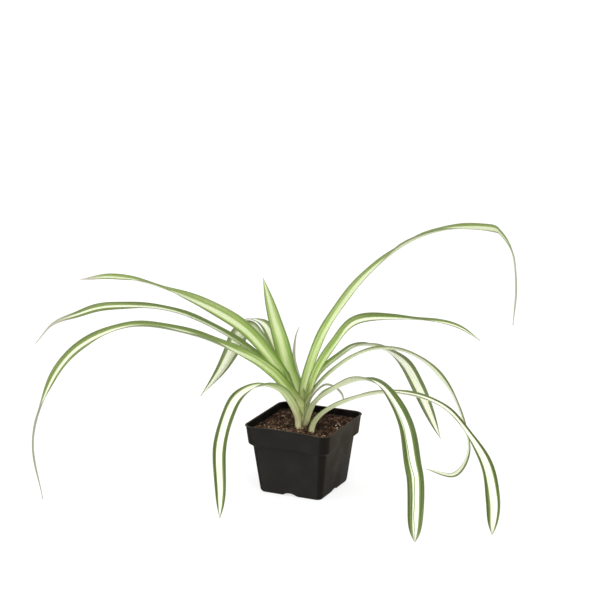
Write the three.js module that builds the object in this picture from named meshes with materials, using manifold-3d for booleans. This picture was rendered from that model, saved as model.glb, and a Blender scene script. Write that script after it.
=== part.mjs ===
// A spider plant in a square nursery pot: pot, bark compost, the crown where the leaf bases clasp each other,
// and fifteen arching leaves. Millimetres, +Z up, with the origin on the table under the middle of the pot.
import * as THREE from "three";
import { mergeVertices } from "three/addons/utils/BufferGeometryUtils.js";
import Module from "manifold-3d";

const wasm = await Module();
wasm.setup();

// Pot
const POT_HEIGHT = 76.3;
const RIM_HALF = 50; // half the width across the lip
const BAND_TOP_HALF = 49.3; // under the lip
const BAND_FOOT_HALF = 47.4;
const BODY_TOP_HALF = 42.9; // under the bevel of the band
const FOOT_HALF = 36.6;
const BAND_FOOT_HEIGHT = 56;
const BODY_TOP_HEIGHT = 52;
const LIP_HEIGHT = 1.1;
const LIP_EASE = 0.3; // height over which the band widens into the lip
const RIM_CORNER = 11.4; // corner radius at the rim
const BODY_CORNER = 9;
const FOOT_CORNER = 6;
const FOOT_EASE = 1.5; // rounding of the edge that the pot stands on
const WALL = 1.4;
const FLOOR = 1.7;
const ARCH_WIDTH = 18; // drainage notch under the middle of each side
const ARCH_RISE = 3.5;
const ARCH_DEPTH = 9;
const DRAIN_RADIUS = 4;
const DRAIN_OFFSET = 19; // of each drain hole from the middle, along X and Y
const FRONT_BOW = 4; // how far the thin wall on the -Y side bends inwards at the rim
const CORNER_STEPS = 5;
const SIDE_STEPS = 7;

// Compost
const SOIL_HEIGHT = 70; // mean height of its surface
const SOIL_RINGS = 9;
const COARSE_LUMP = 0.9; // height of the lumps of bark in it
const FINE_LUMP = 0.7;
const GAP = 0.3; // between neighbours that touch

// Crown
const CROWN_AT = new THREE.Vector3(2, -11, 0);
const CROWN_FOOT = 58;
const CROWN_PROFILE = [
  [7.6, CROWN_FOOT],
  [8.4, 68.5],
  [5.3, 71.5],
  [5.6, 80],
  [4.4, 89],
  [1.8, 95],
];
const CROWN_SIDES = 20;
const CROWN_HOLE_RADIUS = 8.8;

// Leaf blades: a V-shaped section of even thickness, widest part of the way out
const BLADE = 0.8; // thickness
const STATION = 11; // length of one step along a blade
const TIP_SHARE = 0.06;
const FOLDS = [45, 35, 24, 18, 12]; // how far each half is folded up, in degrees, from base to tip
const RUNNER_HOLE_RADIUS = 6.8; // hole of the leaf that grows beside the crown
const RUNNER_HOLE_OUT = 17;
const RUNNER_HOLE_FOOT = 60.4;

// Each leaf lies in the upright plane at its azimuth (degrees, from +X towards +Y) through the crown's axis.
// Its path is [out, up] or [out, up, aside] in that plane, turn is its roll in degrees, evenly spread from
// base to tip, base is its width there as a share of the full width, and sheath is the length that clasps its
// neighbours and belongs to the crown.
const LEAVES = [
  {
    name: "leaf_left_high",
    azimuth: 199,
    width: 16.5,
    widest: 0.4,
    taper: 3.8,
    base: 0.85,
    sheath: 66,
    path: [[2, 74], [8, 100], [23, 133], [57, 175], [96, 200], [156, 224], [199, 231], [235, 227]],
    turn: [-29, -43, -54, -57, -47, -14, 15, -26, -58],
  },
  {
    name: "leaf_left_middle",
    azimuth: 187,
    width: 14,
    widest: 0.5,
    taper: 3.6,
    base: 0.85,
    sheath: 59,
    path: [
      [3, 74], [9, 98], [22, 120], [53, 149], [108, 177],
      [159, 189], [221, 185], [260, 172], [287, 159], [308, 136],
    ],
    turn: [0, -3, -4, -4, -3, -14, -36, -29, -16],
  },
  {
    name: "leaf_left_drooping",
    azimuth: 218,
    width: 18.5,
    widest: 0.45,
    taper: 2.3,
    base: 0.85,
    sheath: 36,
    path: [
      [-3, 76, 4], [-1, 90, 4], [8, 104, 4], [19, 119, 4], [33, 135, 2], [58, 153],
      [113, 181], [180, 195], [236, 174], [268, 134], [286, 78], [278, 12],
    ],
    turn: [-60, -61, -42, -7, -4, 1, -16, -21, 10, 16, 15],
  },
  {
    name: "leaf_back_left",
    azimuth: 173,
    width: 21,
    widest: 0.6,
    taper: 1.5,
    base: 0.85,
    sheath: 65,
    path: [
      [2, 75], [8, 104], [29, 139], [50, 166], [62, 173],
      [78, 161], [89, 140], [106, 113], [130, 84],
    ],
    turn: [0, 19, 37, 50, 44, 31],
  },
  {
    name: "leaf_back_arched",
    azimuth: 137,
    width: 15,
    widest: 0.5,
    taper: 3,
    base: 0.85,
    sheath: 36,
    path: [[2, 76], [11, 98], [32, 119], [66, 136], [102, 155], [136, 155], [172, 146]],
    turn: [0, 2],
  },
  {
    name: "leaf_front_left",
    azimuth: 258,
    width: 16,
    widest: 0.6,
    taper: 5.1,
    base: 0.85,
    sheath: 28,
    path: [
      [4, 69], [7, 85], [30, 116], [63, 134], [95, 135],
      [118, 123], [137, 86], [137, 36], [139, 9],
    ],
    turn: [19, 16, 13, -3, -9, -10, -14],
  },
  {
    name: "leaf_upright",
    azimuth: 155,
    width: 20,
    widest: 0.4,
    taper: 2.6,
    base: 0.85,
    sheath: 64,
    path: [[1, 78], [4, 103], [22, 128], [34, 157], [47, 184], [63, 222]],
    turn: [-11, -19, -10, -9],
  },
  {
    name: "leaf_thin_back",
    azimuth: 115,
    width: 7.5,
    widest: 0.4,
    taper: 2.4,
    base: 0.85,
    sheath: 43,
    path: [[3, 78], [13, 112, 1], [26, 130, 6], [35, 141, 8], [43, 158, 6], [48, 168, 2]],
    turn: [2, 50, 62, 58],
  },
  {
    name: "leaf_right_tall",
    azimuth: 60,
    width: 17,
    widest: 0.3,
    taper: 3.5,
    base: 0.85,
    sheath: 50,
    path: [
      [2, 78], [6, 112, 2], [25, 157, 4], [49, 192, 2], [88, 228], [138, 254],
      [193, 262], [255, 254], [273, 244], [291, 218], [296, 178], [293, 136],
    ],
    turn: [-1, 17, 8, 2, -6, -30, -17, 10, 33, 36, 26, 0],
  },
  {
    name: "leaf_right_high",
    azimuth: 34,
    width: 14,
    widest: 0.35,
    taper: 3.1,
    base: 0.85,
    sheath: 51,
    path: [[3, 77], [14, 128, -3], [35, 163, -4], [57, 186, -2], [95, 188], [145, 182], [171, 174], [194, 158]],
    turn: [8, 22, 32, 31, 26, 31, 26, 14, -6, 18, 36, 45],
  },
  {
    name: "leaf_right_back",
    azimuth: 69,
    width: 16,
    widest: 0.7,
    taper: 2.5,
    base: 0.7,
    sheath: 41,
    path: [
      [3, 76], [10, 102], [27, 125], [59, 139], [85, 145],
      [119, 136], [156, 112], [183, 75], [221, 6],
    ],
    turn: [-17, -17, -13, -8, -36, -59, -70],
  },
  {
    name: "leaf_right_curled",
    azimuth: 30,
    width: 12,
    widest: 0.5,
    taper: 6,
    base: 0.7,
    sheath: 51,
    path: [
      [3, 75], [7, 103], [30, 131], [64, 153], [98, 156], [130, 142],
      [160, 108], [176, 70], [181, 38], [166, 12], [135, 19],
    ],
    turn: [-3, -7, -17, -15, -17, -33, -3, 0, -11, -32],
  },
  {
    name: "leaf_front_broad",
    azimuth: -36,
    width: 17.5,
    widest: 0.8,
    taper: 7,
    base: 0.8,
    sheath: 27,
    path: [
      [4, 74, 3], [17, 97, 3], [33, 112, 2], [60, 128], [92, 145], [135, 161],
      [175, 159], [210, 134], [224, 99], [231, 75], [230, 18],
    ],
    turn: [39, 23, -10, -10, 36, 60],
  },
  {
    name: "leaf_front_right",
    azimuth: -17,
    width: 15,
    widest: 0.75,
    taper: 7.5,
    base: 0.7,
    sheath: 0, // it grows beside the crown, in a hole of its own
    path: [
      [15, 62], [18, 77], [28, 91], [47, 105], [84, 124], [128, 137],
      [177, 138], [210, 125], [245, 89], [256, 52], [256, 14],
    ],
    turn: [-9, -1, -6, -6, -19, 28, 86],
  },
  {
    name: "leaf_small",
    azimuth: 10,
    width: 5,
    widest: 0.6,
    taper: 3.9,
    base: 0.85,
    sheath: 39,
    path: [[4, 76], [10, 103], [24, 119], [35, 119], [44, 112], [47, 103]],
    turn: [1, -3, -38, -63],
  },
];

// Colours, as seen from a step away
const POT_LOOK = { color: 0x2d2c2a, roughness: 0.55, metalness: 0 };
const SOIL_LOOK = { color: 0x3b271c, roughness: 0.95, metalness: 0 };
const CROWN_LOOK = { color: 0xb9bf86, roughness: 0.6, metalness: 0 };
const LEAF_LOOK = { color: 0x86a552, roughness: 0.5, metalness: 0 };

// A closed geometry as a solid that can be cut and joined
function solidOf(geometry) {
  const bare = geometry.clone();
  bare.deleteAttribute("normal");
  bare.deleteAttribute("uv");
  const merged = mergeVertices(bare);
  const mesh = new wasm.Mesh({
    numProp: 3,
    vertProperties: merged.attributes.position.array,
    triVerts: new Uint32Array(merged.index.array),
  });
  return new wasm.Manifold(mesh);
}

function geometryOf(solid) {
  const mesh = solid.getMesh();
  const geometry = new THREE.BufferGeometry();
  geometry.setAttribute("position", new THREE.BufferAttribute(mesh.vertProperties, 3));
  geometry.setIndex(new THREE.BufferAttribute(mesh.triVerts, 1));
  geometry.computeVertexNormals();
  return geometry;
}

function join(solids) {
  return solids.reduce((whole, solid) => whole.add(solid));
}

// The outermost skin of a solid, with the pockets sealed inside it filled
function filled(solid) {
  return solid.decompose().reduce((most, body) => (body.volume() > most.volume() ? body : most));
}

function meshOf(name, geometry, look) {
  const mesh = new THREE.Mesh(geometry, new THREE.MeshStandardMaterial(look));
  mesh.name = name;
  return mesh;
}

// Closes a ring with a fan round its middle
function fanCap(points, faces, first, count, isFoot) {
  const middle = new THREE.Vector3();
  points.slice(first, first + count).forEach((point) => middle.addScaledVector(point, 1 / count));
  const hub = points.push(middle) - 1;
  for (let k = 0; k < count; k += 1) {
    const [a, b] = [first + k, first + ((k + 1) % count)];
    faces.push(...(isFoot ? [hub, b, a] : [hub, a, b]));
  }
}

// A closed skin over rings of points that run anticlockwise, from the lowest ring to the last
function skin(rings) {
  const count = rings[0].length;
  const points = rings.flat();
  const faces = [];
  for (let r = 0; r + 1 < rings.length; r += 1) {
    for (let k = 0; k < count; k += 1) {
      const next = (k + 1) % count;
      const [a, b] = [r * count + k, r * count + next];
      faces.push(a, b, b + count, a, b + count, a + count);
    }
  }
  const last = (rings.length - 1) * count;
  fanCap(points, faces, 0, count, true);
  fanCap(points, faces, last, count, false);
  const geometry = new THREE.BufferGeometry().setFromPoints(points);
  geometry.setIndex(faces);
  return geometry;
}

// A square ring with round corners and its -Y side bent inwards; heightAt gives each point's height
function squareRing(half, corner, bow, heightAt) {
  const ring = [];
  const straight = half - corner;
  const middle = new THREE.Vector2();
  for (let side = 0; side < 4; side += 1) {
    const turn = (side * Math.PI) / 2;
    for (let k = 0; k <= CORNER_STEPS; k += 1) {
      const angle = ((k / CORNER_STEPS) * Math.PI) / 2;
      const point = new THREE.Vector2(Math.cos(angle), Math.sin(angle)).multiplyScalar(corner);
      ring.push(point.addScalar(straight).rotateAround(middle, turn));
    }
    for (let k = 1; k < SIDE_STEPS; k += 1) {
      const along = straight - (2 * straight * k) / SIDE_STEPS;
      const bent = side === 2 ? half - bow * (1 - (along / straight) ** 2) : half;
      ring.push(new THREE.Vector2(along, bent).rotateAround(middle, turn));
    }
  }
  return ring.map((p) => new THREE.Vector3(p.x, p.y, heightAt(p.x, p.y)));
}

function bowAt(height) {
  return (FRONT_BOW * height) / POT_HEIGHT;
}

function levelRing(height, half, corner) {
  return squareRing(half, corner, bowAt(height), () => height);
}

// Half the outer width of the rim band at a height
function bandHalf(height) {
  const share = (height - BAND_FOOT_HEIGHT) / (POT_HEIGHT - BAND_FOOT_HEIGHT);
  return THREE.MathUtils.lerp(BAND_FOOT_HALF, BAND_TOP_HALF, share);
}

// The hollow of an arched notch under the four sides, grown outwards by a wall or a gap
function archways(grow) {
  const half = ARCH_WIDTH / 2 + grow;
  const rise = ARCH_RISE + grow;
  const radius = (half ** 2 + rise ** 2) / (2 * rise);
  const swing = Math.asin(half / radius);
  const shape = new THREE.Shape();
  shape.moveTo(half, -1);
  shape.absarc(0, rise - radius, radius, Math.PI / 2 - swing, Math.PI / 2 + swing, false);
  shape.lineTo(-half, -1);
  const end = FOOT_HALF - ARCH_DEPTH - grow;
  const depth = BODY_TOP_HALF - end;
  const one = new THREE.ExtrudeGeometry(shape, { depth, bevelEnabled: false, curveSegments: 10 });
  one.rotateX(Math.PI / 2);
  one.translate(0, -end, 0);
  return [0, 1, 2, 3].map((side) => solidOf(one.clone().rotateZ((side * Math.PI) / 2)));
}

function cutArchways(solid, grow) {
  return archways(grow).reduce((left, archway) => left.subtract(archway), solid);
}

function pot() {
  const lipFoot = POT_HEIGHT - LIP_HEIGHT;
  const pastRim = POT_HEIGHT + LIP_HEIGHT;
  const outside = skin([
    levelRing(0, FOOT_HALF - FOOT_EASE, FOOT_CORNER - FOOT_EASE),
    levelRing(FOOT_EASE, FOOT_HALF, FOOT_CORNER),
    levelRing(BODY_TOP_HEIGHT, BODY_TOP_HALF, BODY_CORNER),
    levelRing(BAND_FOOT_HEIGHT, BAND_FOOT_HALF, RIM_CORNER),
    levelRing(lipFoot, BAND_TOP_HALF, RIM_CORNER),
    levelRing(lipFoot + LIP_EASE, RIM_HALF, RIM_CORNER),
    levelRing(POT_HEIGHT, RIM_HALF, RIM_CORNER),
  ]);
  const inside = skin([
    levelRing(FLOOR, FOOT_HALF - WALL, FOOT_CORNER - WALL),
    levelRing(BODY_TOP_HEIGHT, BODY_TOP_HALF - WALL, BODY_CORNER - WALL),
    levelRing(BAND_FOOT_HEIGHT, BAND_FOOT_HALF - WALL, RIM_CORNER - WALL),
    levelRing(pastRim, bandHalf(pastRim) - WALL, RIM_CORNER - WALL),
  ]);
  const hollow = cutArchways(solidOf(inside), WALL);
  const shell = cutArchways(solidOf(outside).subtract(hollow), 0);
  const drain = new THREE.CylinderGeometry(DRAIN_RADIUS, DRAIN_RADIUS, 3 * FLOOR, 20).rotateX(Math.PI / 2);
  const drains = [-1, 1].flatMap((x) =>
    [-1, 1].map((y) => solidOf(drain.clone().translate(x * DRAIN_OFFSET, y * DRAIN_OFFSET, 0))),
  );
  return meshOf("pot", geometryOf(drains.reduce((left, hole) => left.subtract(hole), shell)), POT_LOOK);
}

// Lumps of bark and peat on the compost: crossed waves, whose lengths are picked not to repeat
function soilSurface(x, y) {
  const coarse = COARSE_LUMP * Math.sin(x / 4.1 + 1.3) * Math.sin(y / 3.7 + 0.4);
  const fine = FINE_LUMP * Math.sin(x / 2.3 + y / 2.9) * Math.cos(y / 2.1 - x / 3.3);
  return SOIL_HEIGHT + coarse + fine;
}

function postHole(x, y, radius, foot) {
  const height = 2 * (SOIL_HEIGHT - foot);
  const post = new THREE.CylinderGeometry(radius, radius, height, CROWN_SIDES).rotateX(Math.PI / 2);
  return solidOf(post.translate(x, y, foot + height / 2));
}

function soil() {
  const inset = WALL + GAP;
  const half = bandHalf(SOIL_HEIGHT) - inset;
  const corner = RIM_CORNER - inset;
  const rings = [
    levelRing(FLOOR + GAP, FOOT_HALF - inset, FOOT_CORNER - inset),
    levelRing(BODY_TOP_HEIGHT, BODY_TOP_HALF - inset, BODY_CORNER - inset),
    levelRing(BAND_FOOT_HEIGHT, BAND_FOOT_HALF - inset, corner),
  ];
  for (let r = SOIL_RINGS; r >= 1; r -= 1) {
    const share = r / SOIL_RINGS;
    rings.push(squareRing(half * share, corner * share, bowAt(SOIL_HEIGHT) * share, soilSurface));
  }
  const block = cutArchways(solidOf(skin(rings)), WALL + GAP);
  const runner = LEAVES.find((leaf) => leaf.sheath === 0);
  const runnerAt = planeAxes(runner).out.multiplyScalar(RUNNER_HOLE_OUT).add(CROWN_AT);
  const planted = block
    .subtract(postHole(CROWN_AT.x, CROWN_AT.y, CROWN_HOLE_RADIUS, CROWN_FOOT - GAP))
    .subtract(postHole(runnerAt.x, runnerAt.y, RUNNER_HOLE_RADIUS, RUNNER_HOLE_FOOT));
  return meshOf("soil", geometryOf(planted), SOIL_LOOK);
}

// The level direction that a leaf grows in, and the one across it
function planeAxes(leaf) {
  const angle = THREE.MathUtils.degToRad(leaf.azimuth);
  return {
    out: new THREE.Vector3(Math.cos(angle), Math.sin(angle), 0),
    across: new THREE.Vector3(-Math.sin(angle), Math.cos(angle), 0),
  };
}

function leafCurve(leaf) {
  const { out, across } = planeAxes(leaf);
  const points = leaf.path.map(([far, up, aside = 0]) =>
    CROWN_AT.clone().addScaledVector(out, far).addScaledVector(across, aside).setZ(up),
  );
  const curve = new THREE.CatmullRomCurve3(points, false, "catmullrom", 0.5);
  curve.arcLengthDivisions = 400;
  return curve;
}

// A smooth value at share t of the way along evenly spread values
function spread(values, t) {
  const flat = values.map((value, k) => new THREE.Vector3(k, value, 0));
  return new THREE.CatmullRomCurve3(flat, false, "catmullrom", 0.5).getPoint(t).y;
}

function bladeWidth(leaf, t) {
  const rise = leaf.base + (1 - leaf.base) * Math.sin((Math.PI / 2) * Math.min(t / leaf.widest, 1));
  const past = THREE.MathUtils.clamp((t - leaf.widest) / (1 - leaf.widest), 0, 1);
  return leaf.width * rise * Math.max(1 - past ** leaf.taper, TIP_SHARE);
}

// Six corners of the V section at share t, anticlockwise as seen from the tip
function bladeSection(leaf, curve, t) {
  const { across } = planeAxes(leaf);
  const centre = curve.getPointAt(t);
  const along = curve.getTangentAt(t);
  const level = across.addScaledVector(along, -across.dot(along)).normalize();
  const top = along.clone().cross(level);
  const roll = THREE.MathUtils.degToRad(spread(leaf.turn, t));
  const side = level.clone().multiplyScalar(Math.cos(roll)).addScaledVector(top, Math.sin(roll));
  const up = top.multiplyScalar(Math.cos(roll)).addScaledVector(level, -Math.sin(roll));
  const fold = THREE.MathUtils.degToRad(spread(FOLDS, t));
  const half = bladeWidth(leaf, t) / 2;
  const at = (aside, high) => centre.clone().addScaledVector(side, aside).addScaledVector(up, high);
  const [reach, lift] = [half * Math.cos(fold), (half * Math.sin(fold)) / 2];
  const [slant, drop] = [BLADE * Math.sin(fold), BLADE * Math.cos(fold)];
  return [
    at(-reach, lift),
    at(-reach - slant, lift - drop),
    at(0, -lift - BLADE / Math.cos(fold)),
    at(reach + slant, lift - drop),
    at(reach, lift),
    at(0, -lift),
  ];
}

// The stretch of a leaf between two lengths along it. Both faces are split along the same diagonals.
function bladeGeometry(leaf, from, to) {
  const curve = leafCurve(leaf);
  const length = curve.getLength();
  const end = Math.min(to, length);
  const steps = Math.max(1, Math.round((end - from) / STATION));
  const points = [];
  const faces = [];
  for (let k = 0; k <= steps; k += 1) {
    const share = Math.min((from + ((end - from) * k) / steps) / length, 1);
    points.push(...bladeSection(leaf, curve, share));
  }
  const count = 6;
  for (let k = 0; k < steps; k += 1) {
    for (let c = 0; c < count; c += 1) {
      const [a, b] = [k * count + c, k * count + ((c + 1) % count)];
      const [ahead, beside] = [a + count, b + count];
      const isUpper = c >= 4;
      faces.push(...(isUpper ? [a, b, ahead, b, beside, ahead] : [a, b, beside, a, beside, ahead]));
    }
  }
  const tip = steps * count;
  const cap = [0, 1, 2, 0, 2, 5, 5, 2, 4, 4, 2, 3];
  faces.push(...cap.toReversed(), ...cap.map((corner) => tip + corner));
  const geometry = new THREE.BufferGeometry().setFromPoints(points);
  geometry.setIndex(faces);
  return geometry;
}

function crown() {
  const axis = new THREE.Vector2(0, CROWN_FOOT);
  const tip = new THREE.Vector2(0, CROWN_PROFILE.at(-1)[1]);
  const profile = [axis, ...CROWN_PROFILE.map(([radius, height]) => new THREE.Vector2(radius, height)), tip];
  const stub = new THREE.LatheGeometry(profile, CROWN_SIDES).rotateX(Math.PI / 2);
  const sheaths = LEAVES.filter((leaf) => leaf.sheath > 0).map((leaf) =>
    solidOf(bladeGeometry(leaf, 0, leaf.sheath - GAP)),
  );
  const whole = join([solidOf(stub.translate(CROWN_AT.x, CROWN_AT.y, 0)), ...sheaths]);
  return meshOf("crown", geometryOf(filled(whole)), CROWN_LOOK);
}

const plant = new THREE.Group();
plant.add(pot(), soil(), crown());
for (const leaf of LEAVES) {
  plant.add(meshOf(leaf.name, bladeGeometry(leaf, leaf.sheath, Infinity), LEAF_LOOK));
}

export default plant;
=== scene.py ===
# A spider plant in a square nursery pot, dressed over its solids: striped leaves, crown, compost and pot
import math
import random

import bpy
from mathutils import Matrix, Vector, noise


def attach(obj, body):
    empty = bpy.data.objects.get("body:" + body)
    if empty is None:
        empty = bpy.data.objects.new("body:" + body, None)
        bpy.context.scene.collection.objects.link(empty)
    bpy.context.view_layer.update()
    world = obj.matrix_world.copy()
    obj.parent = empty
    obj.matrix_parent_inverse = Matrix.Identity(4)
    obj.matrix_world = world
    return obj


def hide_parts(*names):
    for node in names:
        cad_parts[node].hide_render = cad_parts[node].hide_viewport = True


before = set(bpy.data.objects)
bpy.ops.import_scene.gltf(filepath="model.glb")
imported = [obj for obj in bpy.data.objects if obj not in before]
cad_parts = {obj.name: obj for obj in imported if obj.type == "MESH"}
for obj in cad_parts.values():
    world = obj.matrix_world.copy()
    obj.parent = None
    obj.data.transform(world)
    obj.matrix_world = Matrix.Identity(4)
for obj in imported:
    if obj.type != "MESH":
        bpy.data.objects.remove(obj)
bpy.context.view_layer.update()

# Lengths are in millimetres and angles in degrees, unless a comment says otherwise
MM = 0.001
SHARP_ANGLE = math.radians(50)

# Camera, at the photograph's viewing angle
IMAGE_SIDE = 600
FOCAL_PIXELS = 2200
SENSOR = 36
AIM = Vector((-3.8, -1.8, 208)) * MM
DISTANCE = 2321 * MM
PITCH = 15
YAW = 25

# Studio, in metres and watts: each light has a name, a place, a size and a power
FAR_CLIP = 50
FLOOR_HALF = 8
FLOOR_GLOW = 0.72
LIGHTS = [
    ("key", (0.9, -1.5, 2.1), 1.4, 26),
    ("fill", (-1.8, -1.6, 1.6), 1.6, 12),
    ("front", (0.3, -2.3, 0.7), 1.2, 9),
]

# Pot: a half is half the width of a level section, and a corner is its corners' radius
POT_HEIGHT = 76.3
RIM_HALF = 50
BAND_TOP_HALF = 49.3
BAND_FOOT_HALF = 47.4
BODY_TOP_HALF = 42.9
FOOT_HALF = 36.6
BAND_FOOT_HEIGHT = 56
BODY_TOP_HEIGHT = 52
LIP_HEIGHT = 1.1
RIM_CORNER = 11.4
BODY_CORNER = 9
FOOT_CORNER = 6
WALL = 1.4
FLOOR = 1.7
ARCH_WIDTH = 18
ARCH_RISE = 3.5
ARCH_DEPTH = 9
DRAIN_RADIUS = 4
DRAIN_OFFSET = 19
CUT_PAST = 1
FRONT_BOW = 4

# Heights between which the wall that faces +X goes from painted shade at its foot to painted light at its
# top
SIDE_SHADE_FOOT = -10
SIDE_LIGHT_FULL = 85

# Compost, whose lumps have a height, a width and a layer of the noise
SOIL_HEIGHT = 70
SOIL_GAP = 0.25
BED_DROP = 1.2
BED_LUMPS = [(0.9, 17, 3.1), (0.8, 4.5, 7.7), (0.5, 1.8, 1.3)]
BED_RINGS = 46
BED_TONE = 0.12
CRUMB_COUNT = 2600
CRUMB_SEED = 7
SMALLEST_CRUMB = 1.1
LARGEST_CRUMB = 4.2
CRUMB_RARITY = 0.9
CRUMB_CORNER_FROM = 36
CRUMB_CORNER = 10
CRUMB_BOW_HALF = 38
CRUMB_LIFT = 0.35
TONE_SPREAD = 0.26
WHITE_SHARE = 0.01
WHITE_SIZE = 0.6
WHITE_LIFT = 1.2
WHITE_ACROSS = 2.0
WHITE_GRAINS = [(37.5, 3), (38.5, 0.5), (36, 13), (33, 10)]

# Tone of the bark from 0, darkest, to 1, palest
BARK_TONE = 0.41
# A painted shadow: the bark is darkened round this spot behind the crown, where the leaves shade it
SHADOW_AT = (11, 10)
SHADOW_SPREAD = 22
SHADOW_DARKENING = 0.34
# The bark grows paler towards the right wall, from this distance out and over this width
PALING_FROM = 34
PALING_WIDTH = 8
RIGHT_WALL_PALING = 0.14
# Painted shade: the bark darkens towards the back wall at this rate
BACK_SHADE_FADE = 400

# Crown
CROWN_AT = Vector((2, -11, 0))
CORE_FOOT = 62
CORE_TOP = 94
CORE_RADII = [7.2, 6.4, 5.2, 5.2, 5.4, 4.8, 4.2, 2.6]
CORE_SIDES = 48
CORE_LEVELS = 24
CORE_RIBS = 7
CORE_RIB_DEPTH = 0.05
CORE_TWIST = 11
CORE_LEAF = "leaf_upright"
CORE_BROWN = 4
CORE_ACROSS = 0.8

# Blades, whose fold goes from foot to tip
FOLDS = [45, 35, 24, 18, 12]
FOLD_ROUNDING = 0.012
FOLD_LEVEL = 0.5
FOLD_RATE = 4
TIP_SHARE = 0.06
SECTION_STEP = 2.2
ACROSS_STEPS = 16
ACROSS = [2 * k / ACROSS_STEPS - 1 for k in range(ACROSS_STEPS + 1)]
BLADE_THICKNESS = 0.5
MARGIN_THINNING = 0.6
MIDRIB_HEIGHT = 0.25
MIDRIB_WIDTH = 0.09
UPPER_FACE_DEPTH = 0.15
WAVE_HEIGHT = 0.35
WAVE_PITCH = 9
WAVE_SHIFT = 1.7
WAVE_FULL_HALF = 6

# What a leaf has where its own entry doesn't say
USUAL_BASE = 0.85
USUAL_DRY = 0.95
USUAL_UNDER = 0.1

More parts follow.
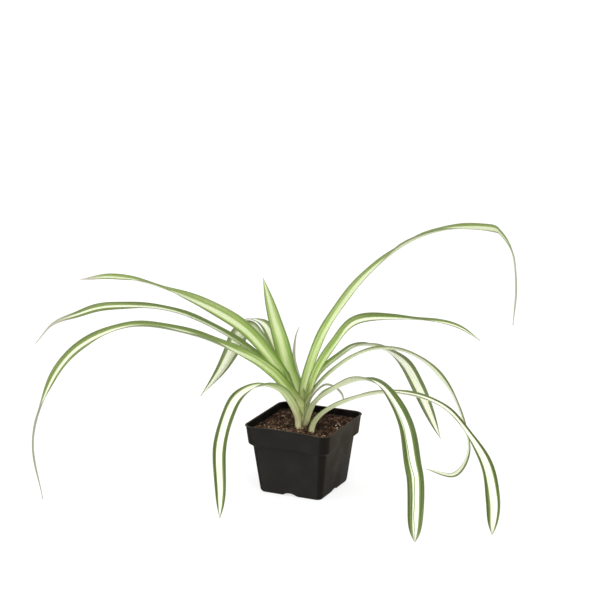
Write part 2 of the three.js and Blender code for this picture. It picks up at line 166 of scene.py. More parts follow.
# Leaves. azimuth is the way a leaf grows. width is its greatest width, and widest where that comes, as a
# share of its length. taper is how late it narrows, and base its foot's share of the width. sheath is the
# length of its foot that belongs to the crown. path gives the distance out, the height and any sideways
# drift, and turn the roll, both from foot to tip. stripe is the white stripe's half width, shift and
# whiteness, and the strength of its green line. dry is the share of the length where the tip withers, and
# under is how much paler the underside is.
LEAVES = [
    {
        "name": "leaf_left_high",
        "azimuth": 199,
        "width": 16.5,
        "widest": 0.4,
        "taper": 3.8,
        "sheath": 66,
        "path": [
            (2, 74), (8, 100), (23, 133), (57, 175),
            (96, 200), (156, 224), (199, 231), (235, 227),
        ],
        "turn": [-29, -43, -54, -57, -47, -14, 15, -26, -58],
        "stripe": (0.34, 0.15, 0.48, 0.3),
        "dry": 0.9,
    },
    {
        "name": "leaf_left_middle",
        "azimuth": 187,
        "width": 14,
        "widest": 0.5,
        "taper": 3.6,
        "sheath": 59,
        "path": [
            (3, 74), (9, 98), (22, 120), (53, 149), (108, 177),
            (159, 189), (221, 185), (260, 172), (287, 159), (308, 136),
        ],
        "turn": [0, -3, -4, -4, -3, -14, -36, -29, -16],
        "stripe": (0.2, -0.12, 0.76, 0.3),
        "dry": 0.82,
    },
    {
        "name": "leaf_left_drooping",
        "azimuth": 218,
        "width": 18.5,
        "widest": 0.45,
        "taper": 2.3,
        "sheath": 36,
        "path": [
            (-3, 76, 4), (-1, 90, 4), (8, 104, 4), (19, 119, 4), (33, 135, 2), (58, 153),
            (113, 181), (180, 195), (236, 174), (268, 134), (286, 78), (278, 12),
        ],
        "turn": [-60, -61, -42, -7, -4, 1, -16, -21, 10, 16, 15],
        "stripe": (0.22, -0.12, 0.72, 0.3),
        "dry": 0.74,
    },
    {
        "name": "leaf_back_left",
        "azimuth": 173,
        "width": 21,
        "widest": 0.6,
        "taper": 1.5,
        "sheath": 65,
        "path": [
            (2, 75), (8, 104), (29, 139), (50, 166), (62, 173),
            (78, 161), (89, 140), (106, 113), (130, 84),
        ],
        "turn": [0, 19, 37, 50, 44, 31],
        "stripe": (0.5, 0, 0.82, 0.3),
        "under": 0.3,
    },
    {
        "name": "leaf_back_arched",
        "azimuth": 137,
        "width": 15,
        "widest": 0.5,
        "taper": 3,
        "sheath": 36,
        "path": [
            (2, 76), (11, 98), (32, 119), (66, 136),
            (102, 155), (136, 155), (172, 146),
        ],
        "turn": [0, 2],
        "stripe": (0.4, 0, 0.8, 0.3),
    },
    {
        "name": "leaf_front_left",
        "azimuth": 258,
        "width": 16,
        "widest": 0.6,
        "taper": 5.1,
        "sheath": 28,
        "path": [
            (4, 69), (7, 85), (30, 116), (63, 134), (95, 135),
            (118, 123), (137, 86), (137, 36), (139, 9),
        ],
        "turn": [19, 16, 13, -3, -9, -10, -14],
        "stripe": (0.42, -0.1, 0.93, 0.3),
        "under": 0.25,
    },
    {
        "name": "leaf_upright",
        "azimuth": 155,
        "width": 20,
        "widest": 0.4,
        "taper": 2.6,
        "sheath": 64,
        "path": [(1, 78), (4, 103), (22, 128), (34, 157), (47, 184), (63, 222)],
        "turn": [-11, -19, -10, -9],
        "stripe": (0.36, -0.02, 0.45, 0.3),
    },
    {
        "name": "leaf_thin_back",
        "azimuth": 115,
        "width": 7.5,
        "widest": 0.4,
        "taper": 2.4,
        "sheath": 43,
        "path": [(3, 78), (13, 112, 1), (26, 130, 6), (35, 141, 8), (43, 158, 6), (48, 168, 2)],
        "turn": [2, 50, 62, 58],
        "stripe": (0.3, 0, 0.3, 0.3),
        "dry": 0.4,
    },
    {
        "name": "leaf_right_tall",
        "azimuth": 60,
        "width": 17,
        "widest": 0.3,
        "taper": 3.5,
        "sheath": 50,
        "path": [
            (2, 78), (6, 112, 2), (25, 157, 4), (49, 192, 2), (88, 228), (138, 254),
            (193, 262), (255, 254), (273, 244), (291, 218), (296, 178), (293, 136),
        ],
        "turn": [-1, 17, 8, 2, -6, -30, -17, 10, 33, 36, 26, 0],
        "stripe": (0.5, -0.1, 0.47, 0.3),
        "dry": 0.8,
    },
    {
        "name": "leaf_right_high",
        "azimuth": 34,
        "width": 14,
        "widest": 0.35,
        "taper": 3.1,
        "sheath": 51,
        "path": [
            (3, 77), (14, 128, -3), (35, 163, -4), (57, 186, -2),
            (95, 188), (145, 182), (171, 174), (194, 158),
        ],
        "turn": [8, 22, 32, 31, 26, 31, 26, 14, -6, 18, 36, 45],
        "stripe": (0.4, -0.25, 0.8, 0.3),
    },
    {
        "name": "leaf_right_back",
        "azimuth": 69,
        "width": 16,
        "widest": 0.7,
        "taper": 2.5,
        "base": 0.7,
        "sheath": 41,
        "path": [
            (3, 76), (10, 102), (27, 125), (59, 139), (85, 145),
            (119, 136), (156, 112), (183, 75), (221, 6),
        ],
        "turn": [-17, -17, -13, -8, -36, -59, -70],
        "stripe": (0.42, 0, 1.0, 0.3),
        "under": 0.5,
    },
    {
        "name": "leaf_right_curled",
        "azimuth": 30,
        "width": 12,
        "widest": 0.5,
        "taper": 6,
        "base": 0.7,
        "sheath": 51,
        "path": [
            (3, 75), (7, 103), (30, 131), (64, 153), (98, 156), (130, 142),
            (160, 108), (176, 70), (181, 38), (166, 12), (135, 19),
        ],
        "turn": [-3, -7, -17, -15, -17, -33, -3, 0, -11, -32],
        "stripe": (0.5, 0, 0.8, 0.4),
        "under": 0.5,
    },
    {
        "name": "leaf_front_broad",
        "azimuth": -36,
        "width": 17.5,
        "widest": 0.8,
        "taper": 7,
        "base": 0.8,
        "sheath": 27,
        "path": [
            (4, 74, 3), (17, 97, 3), (33, 112, 2), (60, 128), (92, 145), (135, 161),
            (175, 159), (210, 134), (224, 99), (231, 75), (230, 18),
        ],
        "turn": [39, 23, -10, -10, 36, 60],
        "stripe": (0.36, -0.03, 1.0, 1.0),
        "under": 0.85,
    },
    {
        "name": "leaf_front_right",
        "azimuth": -17,
        "width": 15,
        "widest": 0.75,
        "taper": 7.5,
        "base": 0.7,
        "sheath": 0,
        "path": [
            (15, 62), (18, 77), (28, 91), (47, 105), (84, 124), (128, 137),
            (177, 138), (210, 125), (245, 89), (256, 52), (256, 14),
        ],
        "turn": [-9, -1, -6, -6, -19, 28, 86],
        "stripe": (0.48, 0.05, 0.93, 0.2),
        "under": 0.75,
    },
    {
        "name": "leaf_small",
        "azimuth": 10,
        "width": 5,
        "widest": 0.6,
        "taper": 3.9,
        "sheath": 39,
        "path": [(4, 76), (10, 103), (24, 119), (35, 119), (44, 112), (47, 103)],
        "turn": [1, -3, -38, -63],
        "stripe": (0.3, 0, 0.5, 0.3),
        "dry": 0.2,
    },
]

# Distances from a blade's foot at which its colours change
BROWN_FOOT = 8
BROWN_FOOT_END = 12
BROWN_RAGGEDNESS = 16
PALE_BASE_END = 60
THROAT_START = 50
THROAT_END = 120
PALE_THROAT_END = 200
UNDERSIDE_START = 15
UNDERSIDE_FULL = 50
UNDERSIDE_FADES = 130
UNDERSIDE_FAINT = 200
DEEP_GREEN_START = 80
DEEP_GREEN_FULL = 150

# Veins in a blade's relief: radians over its half width, and their share of the height
VEIN_RATE = 60
VEIN_SHARE = 0.35

# How fast the white stripe and its green line wander, per millimetre along a blade
STRIPE_WANDER = 0.016
LINE_WANDER = 0.021
LINE_LAYER = 5.0

# Noises on a blade: scale over the half width, scale per millimetre along it, detail and roughness
BLADE_NOISES = {
    "band": (3.5, 0.01, 1.0, 0.5),
    "fibre": (9.0, 0.02, 3.0, 0.6),
    "fine": (30.0, 0.04, 2.0, 0.6),
}

# Colours, matched to the photograph
LEAF_EDGE = "3C4A17"
LEAF_SOFT_EDGE = "66743E"
LEAF_GREEN = "7A8C46"
LEAF_DEEP_GREEN = "4A5D22"
LEAF_PALE_GREEN = "99A86C"
LEAF_WHITE = "EDEFDC"
LEAF_LINE = "78855C"
THROAT_GREEN = "89A348"
THROAT_DARK = "527622"
THROAT_STRIPE = "C9D59B"
LEAF_BASE = "DFD6A8"
LEAF_RIM = "6A6C44"
LEAF_TIP = "A09D8C"
LEAF_BELOW = "CBD0AE"
LEAF_REMNANT = "6B4A30"
SOIL_TONES = ["190E07", "3C2719", "644A36", "957C66"]
PERLITE = "E2DACD"
POT_BLACK = "22211F"
POT_DUST = "2C2A27"
# Painted light and shade: the wall that faces +X is lighter and warmer at its top and darker at its foot
POT_SIDE_LIT = "302A1F"
POT_SIDE_SHADED = "1D1A15"
# Painted shade: a darker tone on the pot's rounded corners
POT_CORNER_SHADE = "130F0C"
# Painted highlight: a paler brown on faces that look up, the lip most of all
POT_LIP_HIGHLIGHT = "4A3F35"
# Painted shade: a near-black tone for the inside walls, where little light reaches
POT_INSIDE_SHADE = "060504"
STUDIO_WHITE = (1, 1, 1, 1)


# Shader helpers

def tone(code):
    """A colour written as six hex digits, in linear light."""
    parts = [int(code[k:k + 2], 16) / 255 for k in (0, 2, 4)]
    return tuple(p / 12.92 if p <= 0.04045 else ((p + 0.055) / 1.055) ** 2.4 for p in parts) + (1,)


def feed(tree, socket, value):
    """Links a socket to another one, or sets it to a number, a vector or six hex digits."""
    if isinstance(value, bpy.types.NodeSocket):
        tree.links.new(value, socket)
    else:
        socket.default_value = tone(value) if isinstance(value, str) else value


def calc(tree, operation, *values):
    """One sum on sockets and numbers."""
    made = tree.nodes.new("ShaderNodeMath")
    made.operation = operation
    for socket, value in zip(made.inputs, values):
        feed(tree, socket, value)
    return made.outputs[0]


def swing(tree, value, size, middle=0.5):
    """A noise made to swing round zero."""
    return calc(tree, "MULTIPLY", calc(tree, "SUBTRACT", value, middle), size)


def step_between(tree, value, low, high, to_low=0.0, to_high=1.0):
    """Goes smoothly from to_low to to_high while the value goes from low to high."""
    made = tree.nodes.new("ShaderNodeMapRange")
    made.interpolation_type = "SMOOTHSTEP"
    for socket, given in zip(made.inputs, (value, low, high, to_low, to_high)):
        feed(tree, socket, given)
    return made.outputs[0]


def blend_colour(tree, share, first, second):
    """The first colour where the share is 0, and the second where it is 1."""
    made = tree.nodes.new("ShaderNodeMix")
    made.data_type = "RGBA"
    share_socket, first_colour, second_colour, mixed_colour = 0, 6, 7, 2
    feed(tree, made.inputs[share_socket], share)
    feed(tree, made.inputs[first_colour], first)
    feed(tree, made.inputs[second_colour], second)
    return made.outputs[mixed_colour]


def vector_of(tree, x, y, z):
    made = tree.nodes.new("ShaderNodeCombineXYZ")
    for socket, value in zip(made.inputs, (x, y, z)):
        feed(tree, socket, value)
    return made.outputs[0]


def parts_of(tree, vector):
    made = tree.nodes.new("ShaderNodeSeparateXYZ")
    tree.links.new(vector, made.inputs[0])
    return made.outputs


def grain(tree, vector, scale, detail=2.0, roughness=0.5):
    """Noise from 0 to 1, whose patches get finer as the scale rises."""
    made = tree.nodes.new("ShaderNodeTexNoise")
    feed(tree, made.inputs["Vector"], vector)
    made.inputs["Scale"].default_value = scale
    made.inputs["Detail"].default_value = detail
    made.inputs["Roughness"].default_value = roughness
    return made.outputs["Fac"]


def attribute(tree, name):
    """A mark that each point of the mesh carries."""
    made = tree.nodes.new("ShaderNodeAttribute")
    made.attribute_name = name
    return made.outputs["Fac"]


def place_on(tree, kind="Object"):
    """Where a point of the object is, or which way its surface faces with the kind Normal."""
    return tree.nodes.new("ShaderNodeTexCoord").outputs[kind]


def group_of(name, inputs, outputs):
    """An empty shader group with its sockets, its input node and its output node."""
    tree = bpy.data.node_groups.new(name, "ShaderNodeTree")
    kinds = {"number": "NodeSocketFloat", "colour": "NodeSocketColor", "vector": "NodeSocketVector"}
    for socket, kind in inputs:
        tree.interface.new_socket(name=socket, in_out="INPUT", socket_type=kinds[kind])
    for socket, kind in outputs:
        tree.interface.new_socket(name=socket, in_out="OUTPUT", socket_type=kinds[kind])
    return tree, tree.nodes.new("NodeGroupInput").outputs, tree.nodes.new("NodeGroupOutput").inputs


def use_group(tree, group, **values):
    made = tree.nodes.new("ShaderNodeGroup")
    made.node_tree = group
    for name, value in values.items():
        feed(tree, made.inputs[name], value)
    return made.outputs


def new_finish(name, **constants):
    """A material with its Principled BSDF and what is the same all over the surface."""
    made = bpy.data.materials.new(name)
    made.use_nodes = True
    shader = made.node_tree.nodes["Principled BSDF"]
    for socket, value in constants.items():
        shader.inputs[socket.replace("_", " ")].default_value = value
    return made, made.node_tree, shader.inputs


def bump_from(tree, height, strength, distance):
    made = tree.nodes.new("ShaderNodeBump")
    made.inputs["Strength"].default_value = strength
    made.inputs["Distance"].default_value = distance
    feed(tree, made.inputs["Height"], height)
    return made.outputs["Normal"]


# Leaf finish

def blade_noises(tree, given):
    """Noises drawn out along the blade: where the stripe and its line wander, bands and fibres."""
    across, along, seed = given["Across"], given["Along"], given["Seed"]
    wander_at = vector_of(tree, seed, calc(tree, "MULTIPLY", along, STRIPE_WANDER), 0.0)
    line_at = vector_of(tree, calc(tree, "MULTIPLY", along, LINE_WANDER), seed, LINE_LAYER)
    noises = {"wander": grain(tree, wander_at, 1.0, 1.0), "line": grain(tree, line_at, 1.0, 1.0)}
    for name, (scale_across, scale_along, detail, roughness) in BLADE_NOISES.items():
        x = calc(tree, "MULTIPLY", across, scale_across)
        y = calc(tree, "MULTIPLY", along, scale_along)
        noises[name] = grain(tree, vector_of(tree, x, y, seed), 1.0, detail, roughness)
    return noises


def stripe_masks(tree, given, noises):
    """How far inside the stripe's edge a place is, and masks of the stripe and of its green lines."""
    wander = swing(tree, noises["wander"], 0.25)
    middle = calc(tree, "ADD", calc(tree, "SUBTRACT", given["Across"], given["Shift"]), wander)
    half = calc(tree, "ADD", given["Stripe"], swing(tree, noises["fibre"], 0.25))
    inside = calc(tree, "SUBTRACT", half, calc(tree, "ABSOLUTE", middle))
    softness = step_between(tree, given["Along"], PALE_BASE_END, PALE_THROAT_END, 0.2, 0.05)
    in_stripe = step_between(tree, inside, calc(tree, "MULTIPLY", softness, -1.0), softness)
    line_at = swing(tree, noises["line"], 0.9, 0.75)
    line_off = calc(tree, "ABSOLUTE", calc(tree, "SUBTRACT", middle, line_at))
    line = calc(tree, "MULTIPLY", step_between(tree, line_off, 0.08, 0.03), given["Line"])
    streaks = step_between(tree, noises["fibre"], 0.58, 0.74, 0.0, 0.4)
    return {"inside": inside, "stripe": in_stripe, "lines": calc(tree, "MAXIMUM", line, streaks)}


def open_blade_colour(tree, given, noises, edge_off, masks):
    """Green margins, paler next to the white stripe, which has green lines in it."""
    grown = step_between(tree, given["Along"], DEEP_GREEN_START, DEEP_GREEN_FULL, 0.2, 1.0)
    strong = calc(tree, "MULTIPLY", step_between(tree, given["White"], 0.5, 1.0), grown)
    deep = blend_colour(tree, strong, LEAF_GREEN, LEAF_DEEP_GREEN)
    edge = blend_colour(tree, strong, LEAF_SOFT_EDGE, LEAF_EDGE)
    greens = blend_colour(tree, step_between(tree, masks["inside"], 0.0, -0.16), LEAF_PALE_GREEN, deep)
    greens = blend_colour(tree, step_between(tree, edge_off, 0.5, 0.9), greens, edge)
    pale_bands = step_between(tree, noises["band"], 0.45, 0.65, 0.0, 0.3)
    greens = blend_colour(tree, pale_bands, greens, LEAF_PALE_GREEN)
    dark_fibres = step_between(tree, noises["fine"], 0.4, 0.7, 0.0, 0.25)
    greens = blend_colour(tree, dark_fibres, greens, edge)
    white = blend_colour(tree, given["White"], LEAF_PALE_GREEN, LEAF_WHITE)
    white = blend_colour(tree, masks["lines"], white, LEAF_LINE)
    return blend_colour(tree, masks["stripe"], greens, white)


def throat_colour(tree, noises, edge_off, masks):
    """Fresh green with pale bands and dark strands, where a leaf leaves the crown."""
    bands = step_between(tree, noises["band"], 0.42, 0.66, 0.0, 0.6)
    green = blend_colour(tree, bands, THROAT_GREEN, THROAT_STRIPE)
    green = blend_colour(tree, step_between(tree, edge_off, 0.6, 0.92, 0.0, 0.85), green, THROAT_DARK)
    green_bands = step_between(tree, noises["band"], 0.5, 0.7, 0.0, 0.5)
    pale = blend_colour(tree, green_bands, THROAT_STRIPE, THROAT_GREEN)
    coarse = step_between(tree, noises["fibre"], 0.5, 0.62, 0.0, 0.5)
    fine = step_between(tree, noises["fine"], 0.54, 0.66, 0.0, 0.5)
    strands = calc(tree, "MAXIMUM", coarse, fine)
    green = blend_colour(tree, strands, green, THROAT_DARK)
    pale = blend_colour(tree, strands, pale, THROAT_GREEN)
    return blend_colour(tree, masks["stripe"], green, pale)


def with_pale_base(tree, colour, given, noises, edge_off):
    """The pale base of the leaf, with its ragged brown foot in the compost."""
    base = step_between(tree, given["Along"], PALE_BASE_END, 0.0, 0.0, 0.8)
    base = calc(tree, "MULTIPLY", base, given["White"])
    base = calc(tree, "MULTIPLY", base, step_between(tree, edge_off, 1.0, 0.6, 0.4, 1.0))
    colour = blend_colour(tree, base, colour, LEAF_BASE)
    ragged = calc(tree, "ADD", given["Along"], calc(tree, "MULTIPLY", noises["band"], BROWN_RAGGEDNESS))
    foot = step_between(tree, ragged, BROWN_FOOT_END, BROWN_FOOT, 0.0, 0.8)
    return blend_colour(tree, foot, colour, LEAF_REMNANT)


def with_underside(tree, colour, given, edge_off):
    """The paler underside, fainter at the foot, at the margins and towards the tip."""
    below = calc(tree, "MULTIPLY", given["Below"], given["Under"])
    fading = [
        step_between(tree, given["Along"], UNDERSIDE_FADES, UNDERSIDE_FAINT, 1.0, 0.2),
        step_between(tree, given["Along"], UNDERSIDE_START, UNDERSIDE_FULL, 0.3, 1.0),
        step_between(tree, edge_off, 0.95, 0.75, 0.3, 1.0),
    ]
    for share in fading:
        below = calc(tree, "MULTIPLY", below, share)
    return blend_colour(tree, below, colour, LEAF_BELOW)


def with_dry_edges(tree, colour, given, noises, edge_off):
    """The thin dry line along both margins, and the withered tip."""
    colour = blend_colour(tree, step_between(tree, edge_off, 0.86, 0.97, 0.0, 0.6), colour, LEAF_RIM)
    withered = calc(tree, "ADD", given["Share"], swing(tree, noises["fibre"], 0.05))
    withered = calc(tree, "SUBTRACT", withered, given["Dry"])
    return blend_colour(tree, step_between(tree, withered, 0.0, 0.08, 0.0, 0.85), colour, LEAF_TIP)


def make_stripe_group():
    """Colour, roughness and height of a leaf from the place on its blade."""
    places = ["Across", "Along", "Share", "Below"]
    traits = ["Stripe", "Shift", "White", "Line", "Dry", "Under", "Seed"]
    tree, given, out = group_of(
        "leaf stripes",
        [(name, "number") for name in places + traits],
        [("Colour", "colour"), ("Roughness", "number"), ("Height", "number")],
    )
    edge_off = calc(tree, "ABSOLUTE", given["Across"])
    noises = blade_noises(tree, given)
    masks = stripe_masks(tree, given, noises)
    blade = open_blade_colour(tree, given, noises, edge_off, masks)
    throat = throat_colour(tree, noises, edge_off, masks)
    throat_end = step_between(tree, given["White"], 0.5, 1.0, PALE_THROAT_END, THROAT_END)
    opened = step_between(tree, given["Along"], THROAT_START, throat_end)
    colour = blend_colour(tree, opened, throat, blade)
    colour = with_pale_base(tree, colour, given, noises, edge_off)
    colour = with_underside(tree, colour, given, edge_off)
    colour = with_dry_edges(tree, colour, given, noises, edge_off)
    tree.links.new(colour, out["Colour"])
    tree.links.new(step_between(tree, noises["fine"], 0.2, 0.8, 0.4, 0.55), out["Roughness"])
    veins = calc(tree, "SINE", calc(tree, "MULTIPLY", given["Across"], VEIN_RATE))
    height = calc(tree, "ADD", calc(tree, "MULTIPLY", veins, VEIN_SHARE), noises["fine"])
    tree.links.new(height, out["Height"])
    return tree


def leaf_finish(leaf, stripes, seed):
    made, tree, sockets = new_finish(
        leaf["name"] + "_finish",
        Subsurface_Weight=0.2,
        Subsurface_Radius=(0.8, 1.0, 0.4),
        Subsurface_Scale=0.0012,
        Specular_IOR_Level=0.3,
    )
    half, shift, white, line = leaf["stripe"]
    out = use_group(
        tree,
        stripes,
        Across=attribute(tree, "across"),
        Along=attribute(tree, "along"),
        Share=attribute(tree, "share"),
        Below=attribute(tree, "below"),
        Stripe=half,
        Shift=shift,
        White=white,
        Line=line,
        Dry=leaf.get("dry", USUAL_DRY),
        Under=leaf.get("under", USUAL_UNDER),
        Seed=float(seed),
    )
    tree.links.new(out["Colour"], sockets["Base Color"])
    tree.links.new(out["Roughness"], sockets["Roughness"])
    tree.links.new(bump_from(tree, out["Height"], strength=0.25, distance=0.1 * MM), sockets["Normal"])
    return made


# Pot and compost finishes

def make_moulded_group():
    """Moulded plastic from the place on it: clouds of dust over a plain colour, and fine pores."""
    tree, given, out = group_of(
        "moulded plastic",
        [("Place", "vector"), ("Plain", "colour"), ("Dusty", "colour")],
        [("Colour", "colour"), ("Roughness", "number"), ("Height", "number")],
    )
    clouds = grain(tree, given["Place"], scale=45.0, detail=3.0)
    dust = step_between(tree, clouds, 0.4, 0.8, 0.0, 0.6)
    tree.links.new(blend_colour(tree, dust, given["Plain"], given["Dusty"]), out["Colour"])
    tree.links.new(step_between(tree, clouds, 0.3, 0.7, 0.42, 0.58), out["Roughness"])
    tree.links.new(grain(tree, given["Place"], scale=1800.0), out["Height"])
    return tree


def with_painted_light(tree, colour):
    """Painted light and shade on the outside: the wall that faces +X is lighter and warmer towards its top
    and darker at its foot, the corners are darker, and faces that look up carry a highlight, the lip most
    of all.
    """
    facing = parts_of(tree, place_on(tree, "Normal"))
    height = parts_of(tree, place_on(tree))["Z"]
    # Painted light and shade: the wall that faces +X goes from a darker foot to a lighter, warmer top
    lit_share = step_between(tree, height, SIDE_SHADE_FOOT * MM, SIDE_LIGHT_FULL * MM)
    wall = blend_colour(tree, lit_share, POT_SIDE_SHADED, POT_SIDE_LIT)
    colour = blend_colour(tree, step_between(tree, facing["X"], 0.8, 0.99), colour, wall)
    # Painted shade: the rounded corners are darkened
    turning = calc(tree, "ABSOLUTE", calc(tree, "MULTIPLY", facing["X"], facing["Y"]))
    colour = blend_colour(tree, step_between(tree, turning, 0.08, 0.4, 0.0, 0.7), colour, POT_CORNER_SHADE)
    # Painted highlight on the faces that look up, the lip most of all
    return blend_colour(tree, step_between(tree, facing["Z"], 0.3, 0.8, 0.0, 0.8), colour, POT_LIP_HIGHLIGHT)


def pot_finish(name, moulded, plain, dusty, painted_light=False):
    """Matt black plastic in a plain and a dusty tone, with painted light and shade on the outside only."""
    made, tree, sockets = new_finish(name, Specular_IOR_Level=0.02)
    out = use_group(tree, moulded, Place=place_on(tree), Plain=plain, Dusty=dusty)
    colour = with_painted_light(tree, out["Colour"]) if painted_light else out["Colour"]
    tree.links.new(colour, sockets["Base Color"])
    tree.links.new(out["Roughness"], sockets["Roughness"])
    tree.links.new(bump_from(tree, out["Height"], strength=0.15, distance=0.1 * MM), sockets["Normal"])
    return made


def crumb_finish():
    """Bark and peat in the tone that each crumb carries, flecked, and white where it is a white grain."""
    made, tree, sockets = new_finish("bark_and_peat", Specular_IOR_Level=0.2)
    ramp = tree.nodes.new("ShaderNodeValToRGB")
    stops = ramp.color_ramp.elements
    while len(stops) < len(SOIL_TONES):
        stops.new(0.5)
    for k, code in enumerate(SOIL_TONES):
        stops[k].position = k / (len(SOIL_TONES) - 1)
        stops[k].color = tone(code)
    fleck = grain(tree, place_on(tree), scale=900.0, detail=3.0, roughness=0.7)
    flecked = calc(tree, "ADD", attribute(tree, "tone"), swing(tree, fleck, 0.5))
    feed(tree, ramp.inputs["Fac"], flecked)
    is_white = step_between(tree, attribute(tree, "white"), 0.4, 0.6)
    colour = blend_colour(tree, is_white, ramp.outputs["Color"], PERLITE)
    tree.links.new(colour, sockets["Base Color"])
    tree.links.new(step_between(tree, fleck, 0.3, 0.7, 0.75, 0.98), sockets["Roughness"])
    tree.links.new(bump_from(tree, fleck, strength=0.5, distance=0.4 * MM), sockets["Normal"])
    return made


# Mesh helpers

def make_piece(
    name, points, faces, finishes, smooth=True, stands_for=(), face_finish=None, marks=None
):
    """A mesh object in metres from points in millimetres, riding on the one body."""
    mesh = bpy.data.meshes.new(name)
    mesh.from_pydata([Vector(p) * MM for p in points], [], faces)
    for finish in finishes:
        mesh.materials.append(finish)
    if face_finish:
        mesh.polygons.foreach_set("material_index", face_finish)
    mesh.polygons.foreach_set("use_smooth", [smooth] * len(faces))
    for mark, values in (marks or {}).items():
        mesh.attributes.new(mark, "FLOAT", "POINT").data.foreach_set("value", values)
    mesh.update()
    if smooth:
        mesh.set_sharp_from_angle(angle=SHARP_ANGLE)
    piece = bpy.data.objects.new(name, mesh)
    bpy.context.scene.collection.objects.link(piece)
    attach(piece, "root")
    if stands_for:
        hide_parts(*stands_for)
    return piece


def add_to(points, faces, more_points, more_faces):
    """Adds one mesh's points and faces to another's."""
    faces += [tuple(k + len(points) for k in face) for face in more_faces]
    points += more_points


def skin(rings):
    """Points and faces over closed rings, with one face at each end."""
    count = len(rings[0])
    points = [p for ring in rings for p in ring]
    faces = []
    for r in range(len(rings) - 1):
        for k in range(count):
            a, b = r * count + k, r * count + (k + 1) % count
            faces.append((a, b, b + count, a + count))
    faces.append(tuple(range(count))[::-1])
    faces.append(tuple(range((len(rings) - 1) * count, len(rings) * count)))
    return points, faces


def catmull(before, start, end, after, t):
    """The uniform Catmull-Rom curve between start and end."""
    return 0.5 * (
        2 * start
        + (end - before) * t
        + (2 * before - 5 * start + 4 * end - after) * t ** 2
        + (3 * start - before - 3 * end + after) * t ** 3
    )


def along_values(values, share):
    """A smooth value at a share of the way along evenly spread values."""
    ends = [2 * values[0] - values[1], *values, 2 * values[-1] - values[-2]]
    place = min(max(share, 0), 1) * (len(values) - 1)
    k = min(int(place), len(values) - 2)
    return catmull(*ends[k:k + 4], place - k)


# Leaves

def leaf_axes(leaf):
    """The level directions in which a leaf grows and across it."""
    angle = math.radians(leaf["azimuth"])
    return Vector((math.cos(angle), math.sin(angle), 0)), Vector((-math.sin(angle), math.cos(angle), 0))


def leaf_track(leaf, fineness=40):
    """Points close together along the middle of a leaf, with their lengths from its base."""
    out, aside = leaf_axes(leaf)
    points = []
    for far, up, *rest in leaf["path"]:
        sway = rest[0] if rest else 0
        points.append(CROWN_AT + out * far + aside * sway + Vector((0, 0, up)))
    count = fineness * (len(points) - 1)
    track = [along_values(points, k / count) for k in range(count + 1)]
    lengths = [0.0]
    for a, b in zip(track, track[1:]):
        lengths.append(lengths[-1] + (b - a).length)
    return track, lengths


def point_at(track, lengths, length):
    k = next((n for n, far in enumerate(lengths) if far >= length), len(lengths) - 1)
    k = max(k, 1)
    share = (length - lengths[k - 1]) / (lengths[k] - lengths[k - 1])
    return track[k - 1].lerp(track[k], share)


def blade_width(leaf, share):
    """The width at a share of the length: it swells from the foot, then narrows to the tip."""
    base = leaf.get("base", USUAL_BASE)
    rise = base + (1 - base) * math.sin(math.pi / 2 * min(share / leaf["widest"], 1))
    past = min(max((share - leaf["widest"]) / (1 - leaf["widest"]), 0), 1)
    return leaf["width"] * rise * max(1 - past ** leaf["taper"], TIP_SHARE)


def blade_frame(leaf, track, lengths, length, reach=2.0):
    """The middle of the blade, its sideways direction and its upper side's direction, at a length."""
    total = lengths[-1]
    centre = point_at(track, lengths, length)
    ahead = point_at(track, lengths, min(length + reach, total))
    behind = point_at(track, lengths, max(length - reach, 0))
    forward = (ahead - behind).normalized()
    aside = leaf_axes(leaf)[1]
    level = (aside - forward * aside.dot(forward)).normalized()
    top = forward.cross(level)
    roll = math.radians(along_values(leaf["turn"], length / total))
    side = level * math.cos(roll) + top * math.sin(roll)
    up = top * math.cos(roll) - level * math.sin(roll)
    return centre, side, up


def blade_ring(leaf, track, lengths, length, phase):
    """One closed section of a blade: its upper face from left to right, then its lower face back again."""
    share = length / lengths[-1]
    centre, side, up = blade_frame(leaf, track, lengths, length)
    fold = math.radians(along_values(FOLDS, share))
    half = blade_width(leaf, share) / 2
    upper, lower = [], []
    for c in ACROSS:
        lift = half * (math.sqrt(c * c + FOLD_ROUNDING) - FOLD_LEVEL) * math.sin(fold)
        ripple = math.sin(length / WAVE_PITCH + phase + (WAVE_SHIFT if c > 0 else 0))
        wave = WAVE_HEIGHT * abs(c) ** 3 * ripple * min(half / WAVE_FULL_HALF, 1)
        tilt = math.sin(fold) * max(-1, min(1, c * FOLD_RATE))
        outward = (up * math.cos(fold) - side * tilt).normalized()
        spot = centre + side * (half * c * math.cos(fold)) + up * (lift + wave)
        blade = BLADE_THICKNESS * (1 - MARGIN_THINNING * abs(c) ** 3)
        midrib = MIDRIB_HEIGHT * math.exp(-((c / MIDRIB_WIDTH) ** 2))
        upper.append(spot - outward * UPPER_FACE_DEPTH)
        lower.append(spot - outward * (UPPER_FACE_DEPTH + (blade + midrib)))
    return upper + lower[::-1]


